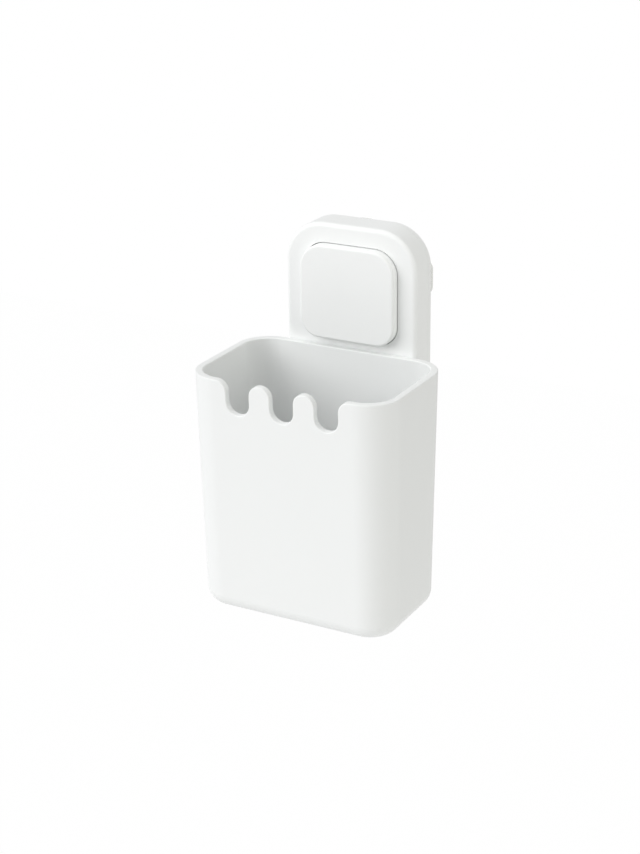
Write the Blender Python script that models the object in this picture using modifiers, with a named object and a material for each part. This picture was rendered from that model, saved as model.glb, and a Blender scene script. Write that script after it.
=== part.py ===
"""Wall-hung toothbrush holder with a push-to-fix suction unit.

The origin is on the wall plane, on the axis of the push button.
+X is to the right, +Y goes into the wall and +Z is up, so the front faces -Y.
Most depths are written as heights off the wall: a height h lies at y = -h.
"""
import math

import bmesh
import bpy
from mathutils import Matrix

# Clearances
SEAT_GAP = 0.0003
FOOT_GAP = 0.0002
STEM_GAP = 0.0004
BUTTON_GAP = 0.0003
CUP_GAP = 0.0003

# Cup
CUP_WIDTH = 0.0880
CUP_DEPTH = 0.0568
CUP_HEIGHT = 0.1000
CUP_WALL = 0.0030
CUP_CORNER_RADIUS = 0.0140
CUP_FLOOR_FILLET = 0.0065
CUP_SIDE_DRAFT = 0.0014
CUP_FRONT_DRAFT = 0.0030
CUP_BACK_DRAFT = 0.0026
CUP_RIM_ROUND = 0.0005
CUP_TOP_BELOW_BUTTON = 0.0034
FOOT_RECESS_DEPTH = 0.0006
FOOT_RECESS_MARGIN = 0.0060
FOOT_RECESS_RADIUS = 0.0060

# Brush slots in the front rim
SLOT_COUNT = 3
SLOT_END_MARGIN = 0.00565
SLOT_WIDTH = 0.0101
SLOT_DEPTH = 0.0134
SLOT_SHOULDER_RADIUS = 0.0046
SLOT_ARC_STEPS = 10

# Drain holes in the floor
DRAIN_COUNT = 3
DRAIN_RADIUS = 0.0020

# Arched cover and the housing behind it
COVER_WIDTH = 0.0580
COVER_TOP_MARGIN = 0.0002
COVER_CORNER_RADIUS = 0.0165
COVER_EDGE_RADIUS = 0.0020
COVER_WALL = 0.0018
COVER_FRONT = 0.0149
COLLAR_DEPTH = 0.0018
COLLAR_WALL = 0.0012
TONGUE_LENGTH = 0.0100
TONGUE_MARGIN = 0.0032
TONGUE_STEP = 0.0005
PARTING_GAP = 0.0003
PARTING_BELOW_RIM = 0.0060
HOUSING_DROP = 0.0440
HOUSING_PLATE = 0.0023
HOUSING_WALL = 0.0020
HOUSING_LOW_RADIUS = 0.0120
BELL_WALL = 0.0018
BELL_SEAT_WIDTH = 0.0036
BELL_TOP_RADIUS = 0.0108
RIB_THICKNESS = 0.0014
RIB_HEIGHT = 0.0050
RIB_SPACING = 0.0140

# Push button
BUTTON_SIDE_MARGIN = 0.0082
BUTTON_TOP_MARGIN = 0.0076
BUTTON_UPPER_RADIUS = 0.0100
BUTTON_LOWER_RADIUS = 0.0080
BUTTON_EDGE_RADIUS = 0.0012
BUTTON_PROUD = 0.0038
BUTTON_TRAVEL = 0.0028
BUTTON_WALL = 0.0010
CARRIER_PLATE = 0.0018
CARRIER_WALL = 0.0014
WING_THICKNESS = 0.0014
WING_HEIGHT = 0.0120
WING_REACH = 0.0028

# Stem, spring and suction pad
STEM_RADIUS = 0.0040
SLEEVE_WALL = 0.0018
SLEEVE_SPARE = 0.0004
FOOT_RADIUS = 0.0090
FOOT_THICKNESS = 0.0010
PAD_MARGIN = 0.0020
PAD_LIP = 0.0012
PAD_LIP_WIDTH = 0.0030
PAD_CENTRE_RADIUS = 0.0112
PAD_BACK_SKIN = 0.0006
PAD_FRONT_SKIN = 0.0009
PAD_MEMBRANE = 0.0012
TAB_WIDTH = 0.0150
TAB_REACH = 0.0002
TAB_ABOVE_AXIS = 0.0061
TAB_ROUND = 0.0040
SPRING_RADIUS = 0.0085
SPRING_WIRE_RADIUS = 0.0005
SPRING_TURNS = 2.75

# Screws
SCREW_HEAD_RADIUS = 0.0024
SCREW_HEAD_HEIGHT = 0.0016
SCREW_SHANK_RADIUS = 0.0011
SCREW_LENGTH = 0.0080
SCREW_TIP = 0.0010
COUNTERBORE_FLOOR = 0.0017
COUNTERBORE_WALL = 0.0013
COVER_BOSS_RADIUS = 0.0023
CUP_BOSS_RADIUS = 0.0032
UPPER_SCREW_INSET = 0.0104
LOWER_SCREW_INSET = 0.0085
LOWER_SCREW_BELOW_RIM = 0.0050
CUP_SCREW_SPREAD = 0.0140
CUP_SCREW_ABOVE_END = 0.0150
HEAD_SINK = 0.0009
CARRIER_WEB = 0.0015

# Wall bumpers
BUMPER_RADIUS = 0.0045
BUMPER_RECESS = 0.0006
BUMPER_INSET = 0.0090
BUMPER_ABOVE_END = 0.0085
BUMPER_ROUND = 0.0004

# Facets
CORNER_STEPS = 8
ROUND_STEPS = 4
TURN_STEPS = 40
SMALL_TURN_STEPS = 20
SMOOTH_ANGLE = math.radians(32)
EDGE_ANGLE = math.radians(45)
MERGE_DISTANCE = 0.000001

# Directions in which a flat outline is extruded
OFF_WALL = Matrix.Rotation(math.pi / 2, 4, "X")
UPWARD = Matrix.Identity(4)
ACROSS = Matrix(((0, 0, 1, 0), (1, 0, 0, 0), (0, 1, 0, 0), (0, 0, 0, 1)))

# Levels and places worked out from the sizes above
SLOT_REACH = CUP_WIDTH / 2 - CUP_CORNER_RADIUS - SLOT_END_MARGIN - SLOT_WIDTH / 2
SLOT_PITCH = 2 * SLOT_REACH / (SLOT_COUNT - 1)
PAD_RADIUS = COVER_WIDTH / 2 - PAD_MARGIN
COVER_TOP_ABOVE_AXIS = PAD_RADIUS + COVER_TOP_MARGIN
BUTTON_WIDTH = COVER_WIDTH - 2 * BUTTON_SIDE_MARGIN
BUTTON_HEIGHT = 2 * (COVER_TOP_ABOVE_AXIS - BUTTON_TOP_MARGIN)
BELL_RIM_RADIUS = PAD_RADIUS - BELL_SEAT_WIDTH
RIM_Z = -(BUTTON_HEIGHT / 2 + CUP_TOP_BELOW_BUTTON)
CUP_BACK_Y = -(COVER_FRONT + CUP_GAP)
COVER_SKIRT_END = RIM_Z - PARTING_BELOW_RIM + PARTING_GAP / 2
HOUSING_WALL_TOP = RIM_Z - PARTING_BELOW_RIM - PARTING_GAP / 2
HOUSING_END = RIM_Z - HOUSING_DROP
HOUSING_BACK = PAD_LIP + SEAT_GAP
HOUSING_FRONT = HOUSING_BACK + HOUSING_PLATE
COVER_BACK = HOUSING_FRONT + SEAT_GAP
COVER_INNER = COVER_FRONT - COVER_WALL
COLLAR_END = COVER_INNER - COLLAR_DEPTH
FOOT_BACK = BUTTON_TRAVEL + PAD_BACK_SKIN + FOOT_GAP
FOOT_FRONT = FOOT_BACK + FOOT_THICKNESS
PAD_FRONT = FOOT_FRONT + FOOT_GAP + PAD_FRONT_SKIN
BELL_CEILING = PAD_FRONT + SEAT_GAP
BELL_FRONT = BELL_CEILING + BELL_WALL
BUTTON_FRONT = COVER_FRONT + BUTTON_PROUD
CARRIER_FRONT = BUTTON_FRONT - BUTTON_WALL - SEAT_GAP
CARRIER_INNER = CARRIER_FRONT - CARRIER_PLATE
WING_FRONT = COLLAR_END - SEAT_GAP
WING_BACK = WING_FRONT - WING_THICKNESS
BUTTON_BACK = WING_FRONT + SEAT_GAP
WEB_FRONT = CARRIER_FRONT - HEAD_SINK - SCREW_HEAD_HEIGHT - SEAT_GAP
WEB_BACK = WEB_FRONT - CARRIER_WEB
STEM_FRONT = WEB_BACK - SEAT_GAP
SLEEVE_BORE = STEM_RADIUS + STEM_GAP
SLEEVE_RADIUS = SLEEVE_BORE + SLEEVE_WALL
SLEEVE_END = WEB_BACK - BUTTON_TRAVEL - SLEEVE_SPARE
PILOT_RADIUS = SCREW_SHANK_RADIUS + SEAT_GAP
COUNTERBORE_RADIUS = SCREW_HEAD_RADIUS + SEAT_GAP
SCREW_SEAT = HOUSING_BACK + SCREW_HEAD_HEIGHT + 2 * SEAT_GAP
SCREW_POST_END = SCREW_SEAT + COUNTERBORE_FLOOR
BOSS_END = SCREW_POST_END + SEAT_GAP
UPPER_SCREW_X = COVER_WIDTH / 2 - COVER_CORNER_RADIUS + UPPER_SCREW_INSET * math.sqrt(0.5)
UPPER_SCREW_Z = COVER_TOP_ABOVE_AXIS - COVER_CORNER_RADIUS + UPPER_SCREW_INSET * math.sqrt(0.5)
LOWER_SCREW_Z = RIM_Z - LOWER_SCREW_BELOW_RIM
LOWER_SCREW_X = COVER_WIDTH / 2 - LOWER_SCREW_INSET
CUP_SCREW_Z = HOUSING_END + CUP_SCREW_ABOVE_END
SCREW_PAIRS = {
    "cover_screw_upper": (UPPER_SCREW_X, UPPER_SCREW_Z),
    "cover_screw_lower": (LOWER_SCREW_X, LOWER_SCREW_Z),
    "cup_screw": (CUP_SCREW_SPREAD, CUP_SCREW_Z),
}
SIDES = {"left": -1, "right": 1}
BUMPER_X = COVER_WIDTH / 2 - BUMPER_INSET
BUMPER_Z = HOUSING_END + BUMPER_ABOVE_END


def clear_scene():
    """Removes every object, so that the script starts from nothing."""
    for item in list(bpy.data.objects):
        bpy.data.objects.remove(item, do_unlink=True)


def new_collection(name):
    """Makes a collection under the scene."""
    collection = bpy.data.collections.new(name)
    bpy.context.scene.collection.children.link(collection)
    return collection


def plastic(name, colour, roughness, metallic=0.0):
    """Makes a Principled material with the three values that a piece needs."""
    material = bpy.data.materials.new(name)
    material.use_nodes = True
    shader = material.node_tree.nodes["Principled BSDF"]
    shader.inputs["Base Color"].default_value = (*colour, 1.0)
    shader.inputs["Roughness"].default_value = roughness
    shader.inputs["Metallic"].default_value = metallic
    return material


def add_piece(name, mesh, material, turned=False):
    """Puts a finished mesh into the parts collection as a named piece."""
    piece = bpy.data.objects.new(name, mesh)
    parts.objects.link(piece)
    mesh.materials.clear()
    mesh.materials.append(material)
    if turned:
        piece.rotation_euler = (math.pi / 2, 0, 0)
    return piece


def shade(piece):
    """Shades the round stretches of a piece smooth and keeps its corners crisp."""
    piece.data.shade_smooth()
    piece.data.set_sharp_from_angle(angle=SMOOTH_ANGLE)


def add_helper(name, mesh, turned=False):
    """Puts a cutter or an added form into the cutters collection, out of sight."""
    helper = bpy.data.objects.new(name, mesh)
    cutters.objects.link(helper)
    helper.hide_render = True
    helper.display_type = "WIRE"
    if turned:
        helper.rotation_euler = (math.pi / 2, 0, 0)
    return helper


def combine(piece, helper, operation):
    """Cuts or joins a helper on a piece with an exact Boolean."""
    modifier = piece.modifiers.new(helper.name, "BOOLEAN")
    modifier.operation = operation
    modifier.object = helper
    modifier.solver = "EXACT"


def cut(piece, helper):
    """Takes the helper's form away from the piece."""
    combine(piece, helper, "DIFFERENCE")


def join(piece, helper):
    """Adds the helper's form to the piece."""
    combine(piece, helper, "UNION")


def mesh_from(builder, name):
    """Turns a filled bmesh into a mesh."""
    mesh = bpy.data.meshes.new(name)
    builder.to_mesh(mesh)
    builder.free()
    return mesh


def evaluated_mesh(maker, name):
    """Turns a temporary object, with its modifiers, into a welded mesh and removes it."""
    bpy.context.view_layer.update()
    depsgraph = bpy.context.evaluated_depsgraph_get()
    mesh = bpy.data.meshes.new_from_object(maker.evaluated_get(depsgraph), depsgraph=depsgraph)
    mesh.name = name
    builder = bmesh.new()
    builder.from_mesh(mesh)
    bmesh.ops.remove_doubles(builder, verts=builder.verts, dist=MERGE_DISTANCE)
    builder.to_mesh(mesh)
    builder.free()
    bpy.data.objects.remove(maker, do_unlink=True)
    return mesh


def outline_mesh(name, outline, low, high, direction=OFF_WALL):
    """Extrudes a flat closed outline from low to high, off the wall, upward or across."""
    curve = bpy.data.curves.new(name, "CURVE")
    curve.dimensions = "2D"
    curve.fill_mode = "BOTH"
    curve.extrude = (high - low) / 2
    spline = curve.splines.new("POLY")
    spline.points.add(len(outline) - 1)
    for point, (first, second) in zip(spline.points, outline):
        point.co = (first, second, 0, 1)
    spline.use_cyclic_u = True
    maker = bpy.data.objects.new(name, curve)
    cutters.objects.link(maker)
    mesh = evaluated_mesh(maker, name)
    mesh.transform(direction @ Matrix.Translation((0, 0, (low + high) / 2)))
    return mesh


def turned_mesh(name, profile, steps=TURN_STEPS, closed=False):
    """Turns a profile of (radius, height) points about the local Z axis.

    The profile runs down the outer side. A closed one comes back up the inner side.
    """
    builder = bmesh.new()
    points = [builder.verts.new((radius, 0, height)) for radius, height in profile]
    for first, second in zip(points, points[1:]):
        builder.edges.new((first, second))
    if closed:
        builder.edges.new((points[-1], points[0]))
    maker = bpy.data.objects.new(name, mesh_from(builder, name))
    cutters.objects.link(maker)
    screw = maker.modifiers.new("turn", "SCREW")
    screw.axis = "Z"
    screw.steps = steps
    screw.render_steps = steps
    screw.use_merge_vertices = True
    screw.merge_threshold = MERGE_DISTANCE
    screw.use_smooth_shade = False
    return evaluated_mesh(maker, name)


def rod_mesh(name, radius, low, high, x=0.0, z=0.0, steps=SMALL_TURN_STEPS):
    """Makes a plain round rod that stands off the wall at (x, z)."""
    builder = bmesh.new()
    bmesh.ops.create_cone(
        builder, cap_ends=True, segments=steps, radius1=radius, radius2=radius, depth=high - low
    )
    for vertex in builder.verts:
        across, up, along = vertex.co
        vertex.co = (x + across, -(along + (low + high) / 2), z + up)
    bmesh.ops.recalc_face_normals(builder, faces=builder.faces)
    return mesh_from(builder, name)


def block_mesh(name, low_corner, high_corner):
    """Makes a box between two corners."""
    builder = bmesh.new()
    bmesh.ops.create_cube(builder, size=1.0)
    for vertex in builder.verts:
        vertex.co = [
            (low + high) / 2 + share * (high - low)
            for share, low, high in zip(vertex.co, low_corner, high_corner)
        ]
    return mesh_from(builder, name)


def arc(centre_x, centre_z, radius, start, end, steps):
    """Lists points on an arc, in degrees, both ends included."""
    points = []
    for step in range(steps + 1):
        angle = math.radians(start + (end - start) * step / steps)
        points.append((centre_x + radius * math.cos(angle), centre_z + radius * math.sin(angle)))
    return points


def rounded_rectangle(half_width, low, high, low_radius, high_radius):
    """Lists a rounded rectangle from its low right corner, anticlockwise."""
    low_side = half_width - low_radius
    high_side = half_width - high_radius
    return (
        arc(low_side, low + low_radius, low_radius, -90, 0, CORNER_STEPS)
        + arc(high_side, high - high_radius, high_radius, 0, 90, CORNER_STEPS)
        + arc(-high_side, high - high_radius, high_radius, 90, 180, CORNER_STEPS)
        + arc(-low_side, low + low_radius, low_radius, 180, 270, CORNER_STEPS)
    )


def button_outline(inset):
    """Lists the button's rounded outline, drawn in by inset, or let out where it is negative."""
    half_height = BUTTON_HEIGHT / 2 - inset
    return rounded_rectangle(
        BUTTON_WIDTH / 2 - inset,
        -half_height,
        half_height,
        BUTTON_LOWER_RADIUS - inset,
        BUTTON_UPPER_RADIUS - inset,
    )


def arch_outline(inset, end_z):
    """Lists the arch from its left end over the top to its right end."""
    half_width = COVER_WIDTH / 2
    side = half_width - COVER_CORNER_RADIUS
    level = COVER_TOP_ABOVE_AXIS - COVER_CORNER_RADIUS
    radius = COVER_CORNER_RADIUS - inset
    return (
        [(inset - half_width, end_z)]
        + arc(-side, level, radius, 180, 90, CORNER_STEPS)
        + arc(side, level, radius, 90, 0, CORNER_STEPS)
        + [(half_width - inset, end_z)]
    )


def housing_outline(inset):
    """Lists the whole outline behind cover and cup: the arch with rounded low corners."""
    half_width = COVER_WIDTH / 2
    side = half_width - HOUSING_LOW_RADIUS
    level = HOUSING_END + HOUSING_LOW_RADIUS
    radius = HOUSING_LOW_RADIUS - inset
    return (
        arch_outline(inset, 0.0)[1:-1]
        + arc(side, level, radius, 0, -90, CORNER_STEPS)
        + arc(-side, level, radius, -90, -180, CORNER_STEPS)
    )


def screw_spots(prefix):
    """Lists the (x, z) spots of the screws whose pair name starts with prefix."""
    return [
        (side * x, z)
        for name, (x, z) in SCREW_PAIRS.items()
        if name.startswith(prefix)
        for side in SIDES.values()
    ]


def bridge(builder, upper, lower, closed):
    """Fills the band between two rows of vertices with faces."""
    count = len(upper)
    for index in range(count if closed else count - 1):
        following = (index + 1) % count
        builder.faces.new((upper[index], lower[index], lower[following], upper[following]))


def edge_profile(radius, front):
    """Lists (inset, height) pairs of the round edge between a front face and its sides."""
    pairs = []
    for step in range(ROUND_STEPS + 1):
        angle = math.pi / 2 * step / ROUND_STEPS
        pairs.append((radius * (1 - math.sin(angle)), front - radius * (1 - math.cos(angle))))
    return pairs


def add_solidify(piece, thickness):
    """Gives an open surface its wall, on the inner side."""
    modifier = piece.modifiers.new("wall", "SOLIDIFY")
    modifier.thickness = thickness
    modifier.offset = -1.0
    modifier.use_even_offset = True


def front_height(z):
    """Gives the Y of the cup's front face at a level."""
    fall = (RIM_Z - z) / CUP_HEIGHT
    return CUP_BACK_Y - CUP_DEPTH + CUP_FRONT_DRAFT * fall


def back_height(z):
    """Gives the Y of the cup's back face at a level."""
    fall = (RIM_Z - z) / CUP_HEIGHT
    return CUP_BACK_Y - CUP_BACK_DRAFT * fall


def cup_ring(z, inset=0.0):
    """Lists the cup's outline at a level, drawn in by inset."""
    fall = (RIM_Z - z) / CUP_HEIGHT
    radius = CUP_CORNER_RADIUS - CUP_SIDE_DRAFT * fall - inset
    ring = rounded_rectangle(
        CUP_WIDTH / 2 - CUP_SIDE_DRAFT * fall - inset,
        front_height(z) + inset,
        back_height(z) - inset,
        radius,
        radius,
    )
    return [(x, y, z) for x, y in ring]


def slot_rim():
    """Lists (x, z) points of the front rim from left to right, down and up through the slots."""
    slot_radius = SLOT_WIDTH / 2
    bottom_z = RIM_Z - SLOT_DEPTH + slot_radius
    finger_radius = min(SLOT_SHOULDER_RADIUS, (SLOT_PITCH - SLOT_WIDTH) / 2)
    points = []
    for index in range(SLOT_COUNT):
        centre = (index - (SLOT_COUNT - 1) / 2) * SLOT_PITCH
        left = SLOT_SHOULDER_RADIUS if index == 0 else finger_radius
        right = SLOT_SHOULDER_RADIUS if index == SLOT_COUNT - 1 else finger_radius
        left_x = centre - slot_radius - left
        right_x = centre + slot_radius + right
        points += arc(left_x, RIM_Z - left, left, 90, 0, SLOT_ARC_STEPS // 2)
        points += arc(centre, bottom_z, slot_radius, 180, 360, SLOT_ARC_STEPS)
        points += arc(right_x, RIM_Z - right, right, 180, 90, SLOT_ARC_STEPS // 2)
    return [
        point
        for previous, point in zip([None] + points, points)
        if previous is None or math.dist(previous, point) > MERGE_DISTANCE
    ]


def cup_surface():
    """Makes the cup's outer skin: slotted front, tapered walls, filleted floor, open top."""
    builder = bmesh.new()
    band_z = RIM_Z - SLOT_DEPTH - SLOT_WIDTH / 2
    fillet_z = RIM_Z - CUP_HEIGHT + CUP_FLOOR_FILLET
    rings = [cup_ring(RIM_Z), cup_ring(band_z), cup_ring(fillet_z)]
    for step in range(1, ROUND_STEPS + 1):
        angle = math.pi / 2 * step / ROUND_STEPS
        inset = CUP_FLOOR_FILLET * (1 - math.cos(angle))
        rings.append(cup_ring(fillet_z - CUP_FLOOR_FILLET * math.sin(angle), inset))
    rows = [[builder.verts.new(point) for point in ring] for ring in rings]
    count = len(rows[0])
    for upper, lower in zip(rows[1:], rows[2:]):
        bridge(builder, upper, lower, closed=True)
    top, band = rows[0], rows[1]
    for index in range(count - 1):
        builder.faces.new((top[index], band[index], band[index + 1], top[index + 1]))
    rim = [builder.verts.new((x, front_height(z), z)) for x, z in slot_rim()]
    builder.faces.new([band[-1], band[0], top[0]] + rim[::-1] + [top[-1]])
    builder.faces.new(rows[-1][::-1])
    bmesh.ops.recalc_face_normals(builder, faces=builder.faces)
    return mesh_from(builder, "cup")


def make_cup(material):
    """Moulds the cup with its rounded rim, drain holes, foot recess and screw bosses."""
    cup = add_piece("cup", cup_surface(), material)
    add_solidify(cup, CUP_WALL)
    rounding = cup.modifiers.new("rim", "BEVEL")
    rounding.width = CUP_RIM_ROUND
    rounding.segments = 3
    rounding.limit_method = "ANGLE"
    rounding.angle_limit = EDGE_ANGLE
    rounding.use_clamp_overlap = True
    for x, z in screw_spots("cup"):
        root = -back_height(z) + CUP_WALL / 2
        boss = rod_mesh("cup_boss", CUP_BOSS_RADIUS, BOSS_END, root, x, z)
        join(cup, add_helper("cup_boss", boss))
        pilot_end = min(BOSS_END + SCREW_LENGTH, -back_height(z) + CUP_WALL / 3)
        pilot = rod_mesh("cup_pilot", PILOT_RADIUS, 0, pilot_end, x, z)
        cut(cup, add_helper("cup_pilot", pilot))
    base_z = RIM_Z - CUP_HEIGHT
    margin = CUP_FLOOR_FILLET + FOOT_RECESS_MARGIN
    recess = rounded_rectangle(
        CUP_WIDTH / 2 - CUP_SIDE_DRAFT - margin,
        front_height(base_z) + margin,
        back_height(base_z) - margin,
        FOOT_RECESS_RADIUS,
        FOOT_RECESS_RADIUS,
    )
    recess_low = base_z - FOOT_RECESS_DEPTH
    recess_high = base_z + FOOT_RECESS_DEPTH
    mesh = outline_mesh("foot_recess", recess, recess_low, recess_high, UPWARD)
    cut(cup, add_helper("foot_recess", mesh))
    middle_y = (front_height(base_z) + back_height(base_z)) / 2
    for index in range(DRAIN_COUNT):
        builder = bmesh.new()
        bmesh.ops.create_cone(
            builder,
            cap_ends=True,
            segments=SMALL_TURN_STEPS,
            radius1=DRAIN_RADIUS,
            radius2=DRAIN_RADIUS,
            depth=4 * CUP_WALL,
        )
        drain = add_helper("drain", mesh_from(builder, "drain"))
        drain.location = ((index - (DRAIN_COUNT - 1) / 2) * SLOT_PITCH, middle_y, base_z)
        cut(cup, drain)
    return cup


def make_cover(material):
    """Moulds the arched cover with its button opening, collar, tongue and screw bosses."""
    builder = bmesh.new()
    rows = []
    for inset, height in edge_profile(COVER_EDGE_RADIUS, COVER_FRONT) + [(0.0, COVER_BACK)]:
        outline = arch_outline(inset, COVER_SKIRT_END)
        rows.append([builder.verts.new((x, -height, z)) for x, z in outline])
    for upper, lower in zip(rows, rows[1:]):
        bridge(builder, upper, lower, closed=False)
    tongue_x = COVER_WIDTH / 2 - TONGUE_MARGIN
    tongue = [
        (tongue_x, COVER_SKIRT_END),
        (tongue_x, RIM_Z - TONGUE_LENGTH),
        (-tongue_x, RIM_Z - TONGUE_LENGTH),
        (-tongue_x, COVER_SKIRT_END),
    ]
    builder.faces.new(rows[0] + [builder.verts.new((x, -COVER_FRONT, z)) for x, z in tongue])
    bmesh.ops.recalc_face_normals(builder, faces=builder.faces)
    cover = add_piece("arch_cover", mesh_from(builder, "arch_cover"), material)
    add_solidify(cover, COVER_WALL)
    collar = button_outline(-BUTTON_GAP - COLLAR_WALL)
    collar_top = COVER_INNER + COVER_WALL / 2
    join(cover, add_helper("collar", outline_mesh("collar", collar, COLLAR_END, collar_top)))
    for x, z in screw_spots("cover"):
        boss = rod_mesh("cover_boss", COVER_BOSS_RADIUS, BOSS_END, COVER_INNER + TONGUE_STEP, x, z)
        join(cover, add_helper("cover_boss", boss))
        pilot = rod_mesh("cover_pilot", PILOT_RADIUS, 0, COVER_INNER - SEAT_GAP, x, z)
        cut(cover, add_helper("cover_pilot", pilot))
    opening = outline_mesh("opening", button_outline(-BUTTON_GAP), 0, BUTTON_FRONT)
    cut(cover, add_helper("opening", opening))
    step_low = (-COVER_WIDTH, -2 * COVER_FRONT, RIM_Z - 2 * TONGUE_LENGTH)
    step_high = (COVER_WIDTH, TONGUE_STEP - COVER_FRONT, RIM_Z - 4 * CUP_RIM_ROUND)
    cut(cover, add_helper("tongue_step", block_mesh("tongue_step", step_low, step_high)))
    return cover


def wall_strip():
    """Lists the U-shaped outline of the housing's side walls below the parting line."""
    outer = [point for point in housing_outline(0.0) if point[1] < RIM_Z]
    inner = [point for point in housing_outline(HOUSING_WALL) if point[1] < RIM_Z]
    half_width = COVER_WIDTH / 2
    return (
        [(half_width, HOUSING_WALL_TOP)]
        + outer
        + [(-half_width, HOUSING_WALL_TOP), (HOUSING_WALL - half_width, HOUSING_WALL_TOP)]
        + inner[::-1]
        + [(half_width - HOUSING_WALL, HOUSING_WALL_TOP)]
    )


def make_housing(material):
    """Moulds the rear housing: plate, bell, stem sleeve, low side walls, posts and ribs."""
    plate = outline_mesh("rear_housing", housing_outline(0.0), HOUSING_BACK, HOUSING_FRONT)
    housing = add_piece("rear_housing", plate, material)
    bury = HOUSING_BACK + HOUSING_PLATE / 2
    bell = [
        (0, SLEEVE_END),
        (SLEEVE_RADIUS, SLEEVE_END),
        (SLEEVE_RADIUS, BELL_FRONT),
        (BELL_TOP_RADIUS + BELL_WALL / 2, BELL_FRONT),
        (BELL_RIM_RADIUS + BELL_WALL / 2, HOUSING_FRONT - SEAT_GAP),
        (BELL_RIM_RADIUS + BELL_WALL / 2, bury),
        (0, bury),
    ]
    join(housing, add_helper("bell", turned_mesh("bell", bell), turned=True))
    reach = COVER_FRONT + CUP_BACK_DRAFT
    join(housing, add_helper("low_walls", outline_mesh("low_walls", wall_strip(), bury, reach)))
    for side in SIDES.values():
        x = side * RIB_SPACING / 2
        low = (x - RIB_THICKNESS / 2, -(HOUSING_FRONT + RIB_HEIGHT), HOUSING_END + HOUSING_WALL / 2)
        high = (x + RIB_THICKNESS / 2, -bury, RIM_Z)
        join(housing, add_helper("rib", block_mesh("rib", low, high)))
    post_radius = COUNTERBORE_RADIUS + COUNTERBORE_WALL
    for x, z in screw_spots("c"):
        post = rod_mesh("screw_post", post_radius, bury, SCREW_POST_END, x, z)
        join(housing, add_helper("screw_post", post))
    cup_back = outline_mesh("cup_back", back_slab(), -COVER_WIDTH, COVER_WIDTH, ACROSS)
    cut(housing, add_helper("cup_back", cup_back))
    void = [
        (0, BELL_CEILING),
        (BELL_TOP_RADIUS, BELL_CEILING),
        (BELL_RIM_RADIUS, HOUSING_BACK),
        (BELL_RIM_RADIUS, 0),
        (0, 0),
    ]
    cut(housing, add_helper("bell_void", turned_mesh("bell_void", void), turned=True))
    stem_bore = rod_mesh("stem_bore", SLEEVE_BORE, 0, BUTTON_FRONT, steps=TURN_STEPS)
    cut(housing, add_helper("stem_bore", stem_bore))
    for x, z in screw_spots("c"):
        bore = rod_mesh("counterbore", COUNTERBORE_RADIUS, 0, SCREW_SEAT, x, z)
        cut(housing, add_helper("counterbore", bore))
        hole = rod_mesh("screw_hole", PILOT_RADIUS, 0, BUTTON_FRONT, x, z)
        cut(housing, add_helper("screw_hole", hole))
    for side in (-1, 1):
        recess = rod_mesh(
            "bumper_recess",
            BUMPER_RADIUS + SEAT_GAP,
            0,
            HOUSING_BACK + BUMPER_RECESS,
            side * BUMPER_X,
            BUMPER_Z,
            TURN_STEPS // 2,
        )
        cut(housing, add_helper("bumper_recess", recess))
    return housing


def back_slab():
    """Lists, as (y, z), the outline of all that lies in front of the cup's back face."""
    top = RIM_Z + CUP_GAP
    low = RIM_Z - CUP_HEIGHT
    front = -2 * CUP_DEPTH
    return [
        (front, low),
        (back_height(low) + SEAT_GAP, low),
        (back_height(top) + SEAT_GAP, top),
        (front, top),
    ]


def make_button_cap(material, axis):
    """Moulds the button's visible cap, a shallow box with a round front edge."""
    builder = bmesh.new()
    rows = []
    for inset, height in edge_profile(BUTTON_EDGE_RADIUS, BUTTON_FRONT) + [(0.0, BUTTON_BACK)]:
        rows.append([builder.verts.new((x, -height, z)) for x, z in button_outline(inset)])
    for upper, lower in zip(rows, rows[1:]):
        bridge(builder, upper, lower, closed=True)
    builder.faces.new(rows[0][::-1])
    bmesh.ops.recalc_face_normals(builder, faces=builder.faces)
    cap = add_piece("button_cap", mesh_from(builder, "button_cap"), material)
    add_solidify(cap, BUTTON_WALL)
    cap.parent = axis
    return cap


def make_carrier(material, axis):
    """Moulds the carrier inside the cap, with its stop wings and the screw's recess."""
    skin = BUTTON_WALL + SEAT_GAP
    outer = button_outline(skin)
    inner = button_outline(skin + CARRIER_WALL)
    mesh = outline_mesh("button_carrier", outer, WING_BACK, CARRIER_FRONT)
    carrier = add_piece("button_carrier", mesh, material)
    hollow = outline_mesh("carrier_hollow", inner, 0, CARRIER_INNER)
    cut(carrier, add_helper("carrier_hollow", hollow))
    wing_x = BUTTON_WIDTH / 2 + BUTTON_GAP + WING_REACH
    inner_x = BUTTON_WIDTH / 2 - skin - CARRIER_WALL / 2
    for side in (-1, 1):
        x_low, x_high = sorted((side * inner_x, side * wing_x))
        low = (x_low, -WING_FRONT, -WING_HEIGHT / 2)
        high = (x_high, -WING_BACK - SEAT_GAP, WING_HEIGHT / 2)
        join(carrier, add_helper("wing", block_mesh("wing", low, high)))
    socket = COUNTERBORE_RADIUS + CARRIER_WALL
    socket_root = CARRIER_INNER + CARRIER_PLATE / 2
    centre = rod_mesh("screw_socket", socket, WEB_BACK, socket_root, steps=TURN_STEPS)
    join(carrier, add_helper("screw_socket", centre))
    recess = rod_mesh("screw_recess", COUNTERBORE_RADIUS, WEB_FRONT, BUTTON_FRONT)
    cut(carrier, add_helper("screw_recess", recess))
    hole = rod_mesh("carrier_hole", PILOT_RADIUS, 0, BUTTON_FRONT)
    cut(carrier, add_helper("carrier_hole", hole))
    carrier.parent = axis
    return carrier


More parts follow.
